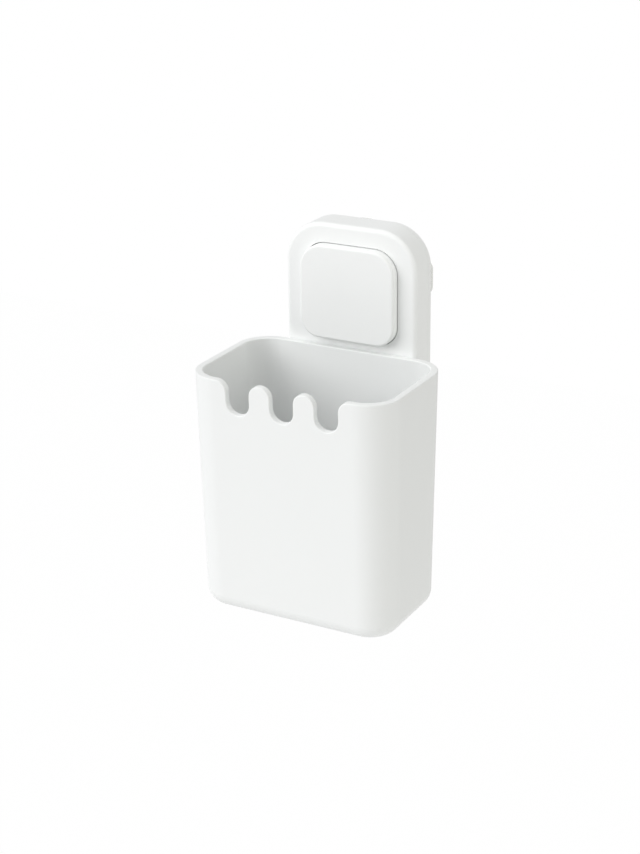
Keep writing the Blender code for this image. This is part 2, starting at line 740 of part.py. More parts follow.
def make_stem(material, axis):
    """Turns the stem with the foot that the suction pad is moulded round."""
    profile = [
        (PILOT_RADIUS, STEM_FRONT),
        (STEM_RADIUS, STEM_FRONT),
        (STEM_RADIUS, FOOT_FRONT),
        (FOOT_RADIUS, FOOT_FRONT),
        (FOOT_RADIUS, FOOT_BACK),
        (0, FOOT_BACK),
    ]
    pilot_end = WEB_FRONT - SCREW_LENGTH - SEAT_GAP
    profile = [(0, pilot_end), (PILOT_RADIUS, pilot_end)] + profile
    stem = add_piece("pull_stem", turned_mesh("pull_stem", profile), material, turned=True)
    stem.parent = axis
    shade(stem)
    return stem


def screw_profile(head_back, direction):
    """Lists a pan-head screw's profile. Direction is 1 where its tip points off the wall."""
    seat = head_back + direction * SCREW_HEAD_HEIGHT
    end = seat + direction * SCREW_LENGTH
    points = [
        (0, head_back),
        (SCREW_HEAD_RADIUS * 0.8, head_back),
        (SCREW_HEAD_RADIUS, head_back + direction * SCREW_HEAD_HEIGHT / 2),
        (SCREW_HEAD_RADIUS, seat),
        (SCREW_SHANK_RADIUS, seat),
        (SCREW_SHANK_RADIUS, end - direction * SCREW_TIP),
        (0, end),
    ]
    return points[::-1] if direction > 0 else points


def make_screw(name, x, z, material):
    """Makes one pan-head screw, driven in from the wall side."""
    mesh = turned_mesh(name, screw_profile(HOUSING_BACK + SEAT_GAP, 1), SMALL_TURN_STEPS)
    screw = add_piece(name, mesh, material, turned=True)
    screw.location = (x, 0, z)
    shade(screw)
    return screw


def make_stem_screw(material, axis):
    """Makes the screw that holds the stem to the carrier, driven in from the front."""
    head_back = WEB_FRONT + SEAT_GAP + SCREW_HEAD_HEIGHT
    mesh = turned_mesh("stem_screw", screw_profile(head_back, -1), SMALL_TURN_STEPS)
    screw = add_piece("stem_screw", mesh, material, turned=True)
    screw.parent = axis
    shade(screw)
    return screw


def make_pad(material):
    """Moulds the elastomer suction pad, lip on the wall and centre drawn off it by the spring."""
    void_radius = FOOT_RADIUS + FOOT_GAP
    void_back = FOOT_BACK - FOOT_GAP
    void_front = FOOT_FRONT + FOOT_GAP
    hole = STEM_RADIUS + FOOT_GAP
    lip_inner = PAD_RADIUS - PAD_LIP_WIDTH
    span = lip_inner - PAD_CENTRE_RADIUS
    outer = []
    under = []
    for step in range(ROUND_STEPS * 2 + 1):
        share = step / (ROUND_STEPS * 2)
        ease = (1 - math.cos(math.pi * share)) / 2
        radius = PAD_CENTRE_RADIUS + span * share
        under.append((radius, BUTTON_TRAVEL * (1 - ease)))
        outer.append((radius, BUTTON_TRAVEL * (1 - ease) + PAD_MEMBRANE))
    profile = (
        [(hole, PAD_FRONT), (PAD_CENTRE_RADIUS - PAD_MEMBRANE, PAD_FRONT)]
        + outer
        + [(PAD_RADIUS, PAD_LIP), (PAD_RADIUS, 0)]
        + under[::-1]
        + [(0, BUTTON_TRAVEL), (0, void_back), (void_radius, void_back)]
        + [(void_radius, void_front), (hole, void_front)]
    )
    mesh = turned_mesh("suction_pad", profile + [profile[0]])
    pad = add_piece("suction_pad", mesh, material, turned=True)
    half = TAB_WIDTH / 2
    reach = COVER_WIDTH / 2 + TAB_REACH
    tab = (
        [(lip_inner + PAD_LIP_WIDTH / 2, TAB_ABOVE_AXIS - half)]
        + arc(reach - TAB_ROUND, TAB_ABOVE_AXIS - half + TAB_ROUND, TAB_ROUND, -90, 0, ROUND_STEPS)
        + arc(reach - TAB_ROUND, TAB_ABOVE_AXIS + half - TAB_ROUND, TAB_ROUND, 0, 90, ROUND_STEPS)
        + [(lip_inner - PAD_LIP_WIDTH / 2, TAB_ABOVE_AXIS + half)]
    )
    helper = add_helper("pull_tab", outline_mesh("pull_tab", tab, PAD_LIP / 6, PAD_LIP * 5 / 6))
    join(pad, helper)
    return pad


def make_spring(material, axis):
    """Winds the spring that pushes the button out and so draws the pad off the wall."""
    low = BELL_FRONT + SEAT_GAP + SPRING_WIRE_RADIUS
    high = CARRIER_INNER - SEAT_GAP - SPRING_WIRE_RADIUS
    curve = bpy.data.curves.new("return_spring", "CURVE")
    curve.dimensions = "3D"
    curve.bevel_depth = SPRING_WIRE_RADIUS
    curve.bevel_resolution = 1
    curve.use_fill_caps = True
    count = int(SPRING_TURNS * 16) + 1
    spline = curve.splines.new("POLY")
    spline.points.add(count - 1)
    for index, point in enumerate(spline.points):
        share = index / (count - 1)
        angle = 2 * math.pi * SPRING_TURNS * share
        point.co = (
            SPRING_RADIUS * math.cos(angle),
            SPRING_RADIUS * math.sin(angle),
            low + (high - low) * share,
            1,
        )
    maker = bpy.data.objects.new("return_spring", curve)
    cutters.objects.link(maker)
    coil = evaluated_mesh(maker, "return_spring")
    spring = add_piece("return_spring", coil, material, turned=True)
    spring.parent = axis
    shade(spring)
    return spring


def make_bumper(name, side, material):
    """Makes one soft bumper that keeps the low end of the housing off the wall."""
    front = HOUSING_BACK + BUMPER_RECESS - SEAT_GAP
    profile = [
        (0, front),
        (BUMPER_RADIUS, front),
        (BUMPER_RADIUS, BUMPER_ROUND),
        (BUMPER_RADIUS - BUMPER_ROUND, 0),
        (0, 0),
    ]
    bumper = add_piece(name, turned_mesh(name, profile, TURN_STEPS // 2), material, turned=True)
    bumper.location = (side * BUMPER_X, 0, BUMPER_Z)
    shade(bumper)
    return bumper


clear_scene()
parts = new_collection("toothbrush_holder")
cutters = new_collection("cutters")

shell_white = plastic("shell_white", (0.86, 0.87, 0.87), 0.42)
button_white = plastic("button_white", (0.87, 0.87, 0.87), 0.40)
inner_white = plastic("inner_white", (0.78, 0.79, 0.79), 0.45)
clear_elastomer = plastic("clear_elastomer", (0.80, 0.81, 0.77), 0.25)
grey_elastomer = plastic("grey_elastomer", (0.55, 0.56, 0.56), 0.60)
steel = plastic("steel", (0.62, 0.62, 0.63), 0.30, 1.0)

press_axis = bpy.data.objects.new("press_axis", None)
parts.objects.link(press_axis)

shade(make_cup(shell_white))
shade(make_cover(shell_white))
shade(make_housing(shell_white))
shade(make_button_cap(button_white, press_axis))
shade(make_carrier(inner_white, press_axis))
make_stem(inner_white, press_axis)
make_stem_screw(steel, press_axis)
make_spring(steel, press_axis)
make_pad(clear_elastomer)
for side_name, side in SIDES.items():
    for pair_name, (x, z) in SCREW_PAIRS.items():
        make_screw(pair_name + "_" + side_name, side * x, z, steel)
    make_bumper("bumper_" + side_name, side, grey_elastomer)
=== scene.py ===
import math

import bmesh
import bpy
from mathutils import Matrix, Vector


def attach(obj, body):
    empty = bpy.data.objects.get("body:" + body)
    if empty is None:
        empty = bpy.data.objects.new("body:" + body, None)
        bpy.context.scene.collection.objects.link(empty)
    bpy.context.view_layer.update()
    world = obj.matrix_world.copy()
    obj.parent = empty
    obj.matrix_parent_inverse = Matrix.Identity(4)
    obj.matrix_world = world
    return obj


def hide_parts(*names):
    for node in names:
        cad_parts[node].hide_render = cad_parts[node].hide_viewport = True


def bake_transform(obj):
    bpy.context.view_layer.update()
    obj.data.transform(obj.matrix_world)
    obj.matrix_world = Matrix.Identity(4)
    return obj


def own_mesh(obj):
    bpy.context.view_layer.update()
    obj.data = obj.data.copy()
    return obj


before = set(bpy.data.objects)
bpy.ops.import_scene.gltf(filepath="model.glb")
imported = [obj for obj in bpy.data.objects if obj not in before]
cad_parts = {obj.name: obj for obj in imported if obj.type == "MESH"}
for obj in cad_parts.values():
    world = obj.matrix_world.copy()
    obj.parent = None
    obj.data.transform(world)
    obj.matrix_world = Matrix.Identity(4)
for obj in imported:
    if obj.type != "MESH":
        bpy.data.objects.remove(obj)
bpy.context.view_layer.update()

# Sizes of the holder in metres. They follow its solids, and a few edges follow the photograph.
# X, Y and Z end the names of places. FRONT, BACK, CEILING and END are distances off the wall.
# CUT is how far a cutting form reaches. SEAT keeps two faces of a piece from falling together,
# and SHUT keeps two pieces apart.
SEAT, SHUT = 0.0003, 0.0001
FINE_ROUND, FINE_STEPS, FINE_ANGLE = 0.00018, 2, 50

# Cup
CUP_WIDTH, CUP_DEPTH, CUP_HEIGHT = 0.0880, 0.0568, 0.1000
CUP_WALL, CUP_CORNER, CUP_FILLET = 0.0030, 0.0140, 0.0065
CUP_BACK_Y, RIM_Z = -0.0152, -0.0230
SIDE_DRAFT, FRONT_DRAFT, BACK_DRAFT = 0.0014, 0.0030, 0.0026
RIM_ROUND, RIM_STEPS, RIM_ANGLE = 0.0005, 5, 45
SLOT_COUNT, SLOT_PITCH, SLOT_WIDTH, SLOT_DEPTH = 3, 0.0193, 0.0101, 0.0134
SLOT_SHOULDER = 0.0046
DRAIN_RADIUS, DRAIN_STEPS, DRAIN_CUT = 0.0020, 24, 0.0050
DRAIN_PLACES = (-1, 0, 1)
FOOT_RECESS_DEPTH, FOOT_RECESS_MARGIN, FOOT_RECESS_CORNER = 0.0006, 0.0060, 0.0060
CUP_BOSS_RADIUS, BOSS_BACK, CUP_PILOT_END = 0.0032, 0.0057, 0.0137

# Cover, which ends just above the parting line and has a tongue behind the cup
PARTING_Z = RIM_Z - 0.0060
PARTING_HALF_GAP = 0.00015
COVER_WIDTH, COVER_TOP_Z, COVER_CORNER = 0.0580, 0.0272, 0.0165
COVER_LOW_Z = PARTING_Z + PARTING_HALF_GAP
COVER_EDGE, COVER_WALL, COVER_FRONT = 0.0019, 0.0018, 0.0149
COVER_BOSS_RADIUS = 0.0023
COLLAR_WALL, COLLAR_BACK = 0.0012, 0.0113
OPENING_CUT = 0.0300
TONGUE_X, TONGUE_LENGTH, TONGUE_STEP = 0.0258, 0.0100, 0.0005
STEP_BELOW_RIM, STEP_CUT_DOWN, STEP_CUT_ACROSS, STEP_CUT_FRONT = 0.0020, 0.0200, 0.0500, 0.0300

# Housing
HOUSING_BACK, HOUSING_FRONT = 0.0015, 0.0038
HOUSING_LOW_Z, HOUSING_WALL, HOUSING_LOW_CORNER = -0.0670, 0.0020, 0.0120
LOW_WALL_TOP_Z = PARTING_Z - PARTING_HALF_GAP
BELL_RIM_RADIUS, BELL_TOP_RADIUS, BELL_WALL, BELL_CEILING = 0.0234, 0.0108, 0.0018, 0.0060
SLEEVE_RADIUS, SLEEVE_FRONT, BORE_RADIUS, BORE_CUT = 0.0062, 0.0099, 0.0044, 0.0200
RIB_X, RIB_HALF_WALL, RIB_FRONT, RIB_LIFT = 0.0070, 0.0007, 0.0088, 0.0010
POST_RADIUS, POST_FRONT = 0.0040, 0.0054
CUP_CUT_FRONT = 0.1160

# Button
BUTTON_WIDTH, BUTTON_LOW_Z, BUTTON_HIGH_Z = 0.0416, -0.0196, 0.0191
BUTTON_UPPER_CORNER, BUTTON_LOWER_CORNER = 0.0100, 0.0080
BUTTON_EDGE, BUTTON_FRONT, BUTTON_BACK = 0.0010, 0.0187, 0.0113
BUTTON_WALL, BUTTON_GAP, BUTTON_TRAVEL = 0.0006, 0.0003, 0.0028

# Pad, with the void that the stem's foot fills. Its rings run between two shares of its slope.
PAD_RADIUS, PAD_CENTRE_RADIUS, PAD_FRONT = 0.0270, 0.0112, 0.0057
PAD_MEMBRANE, PAD_STEPS = 0.0012, 20
LIP_HEIGHT, LIP_WIDTH, LIP_FOOT = 0.0012, 0.0030, 0.0002
LIP_ROUND, LIP_ROUND_STEPS = 0.0004, 4
RING_COUNT, RING_HEIGHT, RINGS_FROM, RINGS_TO = 9, 0.00008, 0.25, 0.97
TAB_WIDTH, TAB_REACH, TAB_Z, TAB_CORNER = 0.0150, 0.0293, 0.0061, 0.0040
PAD_ROUND, PAD_ROUND_STEPS, PAD_ROUND_ANGLE = 0.00025, 3, 60
STEM_RADIUS, FOOT_RADIUS, FOOT_BACK, FOOT_FRONT = 0.0042, 0.0092, 0.0034, 0.0048

# Spring
SPRING_RADIUS, SPRING_WIRE, SPRING_TURNS = 0.0085, 0.0005, 2.75
SPRING_BACK, SPRING_FRONT = 0.0086, 0.0148
SPRING_TURN_STEPS, WIRE_STEPS = 48, 12

# Screws and the holes that they sit in
HEAD_RADIUS, HEAD_HEIGHT, HEAD_CROWN, CROWN_STEPS = 0.0024, 0.0016, 0.0009, 8
SHANK_RADIUS, SCREW_LENGTH, SCREW_TIP = 0.0011, 0.0080, 0.0010
CROSS_LONG, CROSS_WIDE, CROSS_DEPTH, CROSS_CLEAR = 0.0016, 0.00033, 0.0011, 0.0005
HOLE_RADIUS, HOLE_CUT = 0.0014, 0.0120
COUNTERBORE_RADIUS, COUNTERBORE_DEPTH = 0.0027, 0.0037
HEAD_BACK, STEM_HEAD_FRONT = 0.0018, 0.0165
SCREW_SPOTS = {
    "cover_screw_upper": (0.01985, 0.01805),
    "cover_screw_lower": (0.0205, -0.0280),
    "cup_screw": (0.0140, -0.0520),
}

# Bumpers
BUMPER_X, BUMPER_Z, BUMPER_RADIUS = 0.0200, -0.0585, 0.0045
BUMPER_HEIGHT, BUMPER_ROUND, BUMPER_ROUND_STEPS = 0.0018, 0.0004, 5
BUMPER_RECESS_RADIUS, BUMPER_RECESS_DEPTH = 0.0048, 0.0021

# How finely round stretches are drawn
CORNER_STEPS, ROUND_STEPS, TURN_STEPS, ROD_STEPS = 20, 8, 96, 48
SMOOTH_ANGLE, LARGE_FACE_WEIGHT = 30, 100
MERGE_DISTANCE = 0.000004
ON_AXIS = 1e-7


# Meshes

def mesh_from(builder, name):
    """Turns a filled bmesh into a mesh."""
    mesh = bpy.data.meshes.new(name)
    builder.to_mesh(mesh)
    builder.free()
    return mesh


def add_object(name, mesh):
    """Puts a mesh into the scene as a named object."""
    item = bpy.data.objects.new(name, mesh)
    bpy.context.scene.collection.objects.link(item)
    return item


def boolean(piece, mesh, operation):
    """Gives a piece a modifier that cuts a form from it or joins it on."""
    helper = add_object(mesh.name + "_form", mesh)
    helper.hide_render = True
    modifier = piece.modifiers.new("form", "BOOLEAN")
    modifier.operation = operation
    modifier.object = helper
    modifier.solver = "EXACT"


def cut(piece, mesh):
    """Cuts a form from a piece."""
    boolean(piece, mesh, "DIFFERENCE")


def join(piece, mesh):
    """Joins a form onto a piece."""
    boolean(piece, mesh, "UNION")


def settle(piece):
    """Applies a piece's modifiers, merges doubled points and removes the forms that were used."""
    helpers = {m.object for m in piece.modifiers if m.type == "BOOLEAN"}
    bpy.context.view_layer.update()
    depsgraph = bpy.context.evaluated_depsgraph_get()
    mesh = bpy.data.meshes.new_from_object(piece.evaluated_get(depsgraph), depsgraph=depsgraph)
    builder = bmesh.new()
    builder.from_mesh(mesh)
    bmesh.ops.remove_doubles(builder, verts=builder.verts, dist=MERGE_DISTANCE)
    builder.to_mesh(mesh)
    builder.free()
    piece.modifiers.clear()
    piece.data = mesh
    for helper in helpers:
        bpy.data.objects.remove(helper, do_unlink=True)
    return piece


def solidify(piece, thickness):
    """Gives a surface a wall on its inner side."""
    wall = piece.modifiers.new("wall", "SOLIDIFY")
    wall.thickness = thickness
    wall.offset = -1.0
    wall.use_even_offset = True


def round_edges(piece, width, segments, angle):
    """Rounds every edge of a piece that is sharper than an angle in degrees."""
    modifier = piece.modifiers.new("edges", "BEVEL")
    modifier.width = width
    modifier.segments = segments
    modifier.limit_method = "ANGLE"
    modifier.angle_limit = math.radians(angle)
    modifier.use_clamp_overlap = True


def smooth(piece):
    """Shades round stretches smooth and flat faces flat."""
    piece.data.shade_smooth()
    piece.data.set_sharp_from_angle(angle=math.radians(SMOOTH_ANGLE))
    normals = piece.modifiers.new("normals", "WEIGHTED_NORMAL")
    normals.keep_sharp = True
    normals.weight = LARGE_FACE_WEIGHT
    return piece


def arc(centre_x, centre_z, radius, start, end, steps):
    """Lists points on an arc between two angles in degrees, both ends included."""
    points = []
    for step in range(steps + 1):
        angle = math.radians(start + (end - start) * step / steps)
        points.append((centre_x + radius * math.cos(angle), centre_z + radius * math.sin(angle)))
    return points


def quarter_turn(steps):
    """Lists the angles of a quarter turn in radians, both ends included."""
    return [math.pi / 2 * step / steps for step in range(steps + 1)]


def rounded_rectangle(half_width, low, high, low_radius, high_radius):
    """Lists a rounded rectangle anticlockwise from its low right corner."""
    low_side = half_width - low_radius
    high_side = half_width - high_radius
    return (
        arc(low_side, low + low_radius, low_radius, -90, 0, CORNER_STEPS)
        + arc(high_side, high - high_radius, high_radius, 0, 90, CORNER_STEPS)
        + arc(-high_side, high - high_radius, high_radius, 90, 180, CORNER_STEPS)
        + arc(-low_side, low + low_radius, low_radius, 180, 270, CORNER_STEPS)
    )


def bridge(builder, upper, lower, closed):
    """Fills the band between two rows of vertices."""
    count = len(upper)
    for index in range(count if closed else count - 1):
        following = (index + 1) % count
        builder.faces.new((upper[index], lower[index], lower[following], upper[following]))


def prism(name, outline, low, high, across=False):
    """Extrudes an (x, z) outline off the wall from height low to height high.

    With across, the outline is (y, z) and is extruded along X.
    """
    builder = bmesh.new()
    rows = []
    for height in (low, high):
        if across:
            rows.append([builder.verts.new((height, y, z)) for y, z in outline])
        else:
            rows.append([builder.verts.new((x, -height, z)) for x, z in outline])
    bridge(builder, rows[0], rows[1], closed=True)
    builder.faces.new(rows[0])
    builder.faces.new(rows[1][::-1])
    bmesh.ops.recalc_face_normals(builder, faces=builder.faces)
    return mesh_from(builder, name)


def slab(name, outline, low, high):
    """Extrudes an (x, y) outline upward."""
    builder = bmesh.new()
    rows = [[builder.verts.new((x, y, z)) for x, y in outline] for z in (low, high)]
    bridge(builder, rows[0], rows[1], closed=True)
    builder.faces.new(rows[0])
    builder.faces.new(rows[1][::-1])
    bmesh.ops.recalc_face_normals(builder, faces=builder.faces)
    return mesh_from(builder, name)


def turned(name, profile, x=0.0, z=0.0, steps=TURN_STEPS):
    """Turns a closed (radius, height) profile about an axis that stands off the wall at (x, z)."""
    builder = bmesh.new()
    rows = []
    for radius, height in profile:
        if radius < ON_AXIS:
            rows.append([builder.verts.new((x, -height, z))])
            continue
        row = []
        for step in range(steps):
            angle = 2 * math.pi * step / steps
            across, up = radius * math.cos(angle), radius * math.sin(angle)
            row.append(builder.verts.new((x + across, -height, z + up)))
        rows.append(row)
    for first, second in zip(rows, rows[1:] + rows[:1]):
        if len(first) == 1 and len(second) == 1:
            continue
        for step in range(steps):
            following = (step + 1) % steps
            if len(first) == 1:
                builder.faces.new((first[0], second[step], second[following]))
            elif len(second) == 1:
                builder.faces.new((first[step], second[0], first[following]))
            else:
                builder.faces.new((first[step], second[step], second[following], first[following]))
    bmesh.ops.recalc_face_normals(builder, faces=builder.faces)
    return mesh_from(builder, name)


def rod(name, radius, low, high, x=0.0, z=0.0):
    """Makes a round rod that stands off the wall."""
    return turned(name, [(0, high), (radius, high), (radius, low), (0, low)], x, z, ROD_STEPS)


def block(name, low, high):
    """Makes a box between two corners."""
    outline = [(low[0], low[2]), (high[0], low[2]), (high[0], high[2]), (low[0], high[2])]
    return prism(name, outline, -high[1], -low[1])


# Outlines

def button_outline(inset):
    """Lists the button's outline. Its top edge lies a little low, as in the photograph."""
    return rounded_rectangle(
        BUTTON_WIDTH / 2 - inset,
        BUTTON_LOW_Z + inset,
        BUTTON_HIGH_Z - inset,
        BUTTON_LOWER_CORNER - inset,
        BUTTON_UPPER_CORNER - inset,
    )


def arch_outline(inset, end_z):
    """Lists the arch from its left end over the top to its right end."""
    half_width = COVER_WIDTH / 2
    side = half_width - COVER_CORNER
    level = COVER_TOP_Z - COVER_CORNER
    radius = COVER_CORNER - inset
    return (
        [(inset - half_width, end_z)]
        + arc(-side, level, radius, 180, 90, CORNER_STEPS)
        + arc(side, level, radius, 90, 0, CORNER_STEPS)
        + [(half_width - inset, end_z)]
    )


def housing_outline(inset):
    """Lists the arch with rounded low corners."""
    side = COVER_WIDTH / 2 - HOUSING_LOW_CORNER
    level = HOUSING_LOW_Z + HOUSING_LOW_CORNER
    radius = HOUSING_LOW_CORNER - inset
    return (
        arch_outline(inset, 0.0)[1:-1]
        + arc(side, level, radius, 0, -90, CORNER_STEPS)
        + arc(-side, level, radius, -90, -180, CORNER_STEPS)
    )


def front_y(z):
    """Gives the cup's front face at a level."""
    return CUP_BACK_Y - CUP_DEPTH + FRONT_DRAFT * (RIM_Z - z) / CUP_HEIGHT


def back_y(z):
    """Gives the cup's back face at a level, seated closely on the cover."""
    return SHUT * 2 + CUP_BACK_Y - BACK_DRAFT * (RIM_Z - z) / CUP_HEIGHT


def cup_ring(z, inset=0.0):
    """Lists the cup's outline at a level."""
    side = SIDE_DRAFT * (RIM_Z - z) / CUP_HEIGHT
    radius = CUP_CORNER - side - inset
    half_width = CUP_WIDTH / 2 - side - inset
    ring = rounded_rectangle(half_width, front_y(z) + inset, back_y(z) - inset, radius, radius)
    return [(x, y, z) for x, y in ring]


def slot_rim():
    """Lists the front rim from left to right, down and up through the slots."""
    slot, shoulder = SLOT_WIDTH / 2, SLOT_SHOULDER
    shoulder_z, steps = RIM_Z - shoulder, CORNER_STEPS // 2
    points = []
    for index in range(SLOT_COUNT):
        centre = (index - (SLOT_COUNT - 1) / 2) * SLOT_PITCH
        falling = arc(centre - slot - shoulder, shoulder_z, shoulder, 90, 0, steps)
        # Neighbouring shoulders meet in one point, which is listed once.
        points += falling[1:] if index else falling
        points += arc(centre, RIM_Z - SLOT_DEPTH + slot, slot, 180, 360, CORNER_STEPS)
        points += arc(centre + slot + shoulder, shoulder_z, shoulder, 180, 90, steps)
    return points


# Pieces

def make_cup():
    """Moulds the cup: slotted front, tapered walls, filleted floor and rounded rim."""
    builder = bmesh.new()
    band_z = RIM_Z - SLOT_DEPTH - SLOT_WIDTH / 2
    fillet_z = RIM_Z - CUP_HEIGHT + CUP_FILLET
    rings = [cup_ring(RIM_Z), cup_ring(band_z), cup_ring(fillet_z)]
    for angle in quarter_turn(ROUND_STEPS)[1:]:
        inset = CUP_FILLET * (1 - math.cos(angle))
        rings.append(cup_ring(fillet_z - CUP_FILLET * math.sin(angle), inset))
    rows = [[builder.verts.new(point) for point in ring] for ring in rings]
    count = len(rows[0])
    for upper, lower in zip(rows[1:], rows[2:]):
        bridge(builder, upper, lower, closed=True)
    top, band = rows[0], rows[1]
    for index in range(count - 1):
        builder.faces.new((top[index], band[index], band[index + 1], top[index + 1]))
    rim = [builder.verts.new((x, front_y(z), z)) for x, z in slot_rim()]
    builder.faces.new([band[-1], band[0], top[0]] + rim[::-1] + [top[-1]])
    builder.faces.new(rows[-1][::-1])
    bmesh.ops.recalc_face_normals(builder, faces=builder.faces)
    cup = add_object("cup_moulding", mesh_from(builder, "cup_moulding"))
    solidify(cup, CUP_WALL)
    round_edges(cup, RIM_ROUND, RIM_STEPS, RIM_ANGLE)
    base_z = RIM_Z - CUP_HEIGHT
    middle_y = (front_y(base_z) + back_y(base_z)) / 2
    margin = CUP_FILLET + FOOT_RECESS_MARGIN
    outline = rounded_rectangle(
        CUP_WIDTH / 2 - SIDE_DRAFT - margin,
        front_y(base_z) + margin,
        back_y(base_z) - margin,
        FOOT_RECESS_CORNER,
        FOOT_RECESS_CORNER,
    )
    cut(cup, slab("recess", outline, base_z - FOOT_RECESS_DEPTH, base_z + FOOT_RECESS_DEPTH))
    for index in DRAIN_PLACES:
        ring = arc(0, 0, DRAIN_RADIUS, 0, 360 - 360 / DRAIN_STEPS, DRAIN_STEPS - 1)
        circle = [(index * SLOT_PITCH + a, middle_y + b) for a, b in ring]
        cut(cup, slab("drain", circle, base_z - DRAIN_CUT, base_z + DRAIN_CUT))
    x, z = SCREW_SPOTS["cup_screw"]
    for side in (-1, 1):
        join(cup, rod("boss", CUP_BOSS_RADIUS, BOSS_BACK, -back_y(z) + CUP_WALL / 2, side * x, z))
        cut(cup, rod("pilot", HOLE_RADIUS, 0, CUP_PILOT_END, side * x, z))
    return smooth(settle(cup))


def edge_profile(radius, front):
    """Lists (inset, height) pairs of a round front edge."""
    return [
        (radius * (1 - math.sin(angle)), front - radius * (1 - math.cos(angle)))
        for angle in quarter_turn(ROUND_STEPS)
    ]


def make_cover():
    """Moulds the arched cover with its button opening, collar, tongue and bosses."""
    builder = bmesh.new()
    rows = []
    for inset, height in edge_profile(COVER_EDGE, COVER_FRONT) + [(0.0, HOUSING_FRONT + SHUT / 2)]:
        rows.append([builder.verts.new((x, -height, z)) for x, z in arch_outline(inset, COVER_LOW_Z)])
    for upper, lower in zip(rows, rows[1:]):
        bridge(builder, upper, lower, closed=False)
    low = RIM_Z - TONGUE_LENGTH
    tongue = [(TONGUE_X, COVER_LOW_Z), (TONGUE_X, low), (-TONGUE_X, low), (-TONGUE_X, COVER_LOW_Z)]
    builder.faces.new(rows[0] + [builder.verts.new((x, -COVER_FRONT, z)) for x, z in tongue])
    bmesh.ops.recalc_face_normals(builder, faces=builder.faces)
    cover = add_object("cover_moulding", mesh_from(builder, "cover_moulding"))
    solidify(cover, COVER_WALL)
    inner = COVER_FRONT - COVER_WALL
    collar = button_outline(-BUTTON_GAP - COLLAR_WALL)
    join(cover, prism("collar", collar, COLLAR_BACK, inner + COVER_WALL / 2))
    for name in ("cover_screw_upper", "cover_screw_lower"):
        x, z = SCREW_SPOTS[name]
        for side in (-1, 1):
            join(cover, rod("boss", COVER_BOSS_RADIUS, BOSS_BACK, inner + TONGUE_STEP, side * x, z))
            cut(cover, rod("pilot", HOLE_RADIUS, 0, inner - SEAT, side * x, z))
    cut(cover, prism("opening", button_outline(-BUTTON_GAP), 0.0, OPENING_CUT))
    step_low = (-STEP_CUT_ACROSS, -STEP_CUT_FRONT, RIM_Z - STEP_CUT_DOWN)
    step_high = (STEP_CUT_ACROSS, TONGUE_STEP - COVER_FRONT, RIM_Z - STEP_BELOW_RIM)
    cut(cover, block("step", step_low, step_high))
    settle(cover)
    round_edges(cover, FINE_ROUND, FINE_STEPS, FINE_ANGLE)
    return smooth(settle(cover))


def make_housing():
    """Moulds the rear housing: plate, bell, sleeve, low walls, screw posts and ribs."""
    housing = add_object(
        "housing_moulding", prism("housing_moulding", housing_outline(0.0), HOUSING_BACK, HOUSING_FRONT)
    )
    bury = (HOUSING_BACK + HOUSING_FRONT) / 2
    bell_front = BELL_CEILING + BELL_WALL
    bell = [
        (0, SLEEVE_FRONT),
        (SLEEVE_RADIUS, SLEEVE_FRONT),
        (SLEEVE_RADIUS, bell_front),
        (BELL_TOP_RADIUS + BELL_WALL / 2, bell_front),
        (BELL_RIM_RADIUS + BELL_WALL / 2, HOUSING_FRONT - SEAT),
        (BELL_RIM_RADIUS + BELL_WALL / 2, bury),
        (0, bury),
    ]
    join(housing, turned("bell", bell))
    half = COVER_WIDTH / 2
    strip = (
        [(half, LOW_WALL_TOP_Z)]
        + [p for p in housing_outline(0.0) if p[1] < RIM_Z]
        + [(-half, LOW_WALL_TOP_Z), (HOUSING_WALL - half, LOW_WALL_TOP_Z)]
        + [p for p in housing_outline(HOUSING_WALL) if p[1] < RIM_Z][::-1]
        + [(half - HOUSING_WALL, LOW_WALL_TOP_Z)]
    )
    join(housing, prism("low_walls", strip, bury, COVER_FRONT + BACK_DRAFT))
    for side in (-1, 1):
        low = (side * RIB_X - RIB_HALF_WALL, -RIB_FRONT, HOUSING_LOW_Z + RIB_LIFT)
        join(housing, block("rib", low, (side * RIB_X + RIB_HALF_WALL, -bury, RIM_Z)))
    spots = [(side * x, z) for x, z in SCREW_SPOTS.values() for side in (-1, 1)]
    for x, z in spots:
        join(housing, rod("post", POST_RADIUS, bury, POST_FRONT, x, z))
    top, low = RIM_Z + SEAT, RIM_Z - CUP_HEIGHT
    low_back, top_back = (back_y(low) + SHUT, low), (back_y(top) + SHUT, top)
    cup_back = [(-CUP_CUT_FRONT, low), low_back, top_back, (-CUP_CUT_FRONT, top)]
    cut(housing, prism("cup_back", cup_back, -COVER_WIDTH, COVER_WIDTH, across=True))
    void = [
        (0, BELL_CEILING),
        (BELL_TOP_RADIUS, BELL_CEILING),
        (BELL_RIM_RADIUS, HOUSING_BACK),
        (BELL_RIM_RADIUS, 0),
        (0, 0),
    ]
    cut(housing, turned("void", void))
    cut(housing, rod("bore", BORE_RADIUS, 0, BORE_CUT))
    for side in (-1, 1):
        x = side * BUMPER_X
        cut(housing, rod("recess", BUMPER_RECESS_RADIUS, 0, BUMPER_RECESS_DEPTH, x, BUMPER_Z))
    settle(housing)
    round_edges(housing, FINE_ROUND, FINE_STEPS, FINE_ANGLE)
    settle(housing)
    # The stepped screw holes are cut after the rounding, which would tear at their rims.
    stepped = [
        (0, HOLE_CUT),
        (HOLE_RADIUS, HOLE_CUT),
        (HOLE_RADIUS, COUNTERBORE_DEPTH),
        (COUNTERBORE_RADIUS, COUNTERBORE_DEPTH),
        (COUNTERBORE_RADIUS, 0),
        (0, 0),
    ]
    for x, z in spots:
        cut(housing, turned("screw_hole", stepped, x, z, ROD_STEPS))
    return smooth(settle(housing))


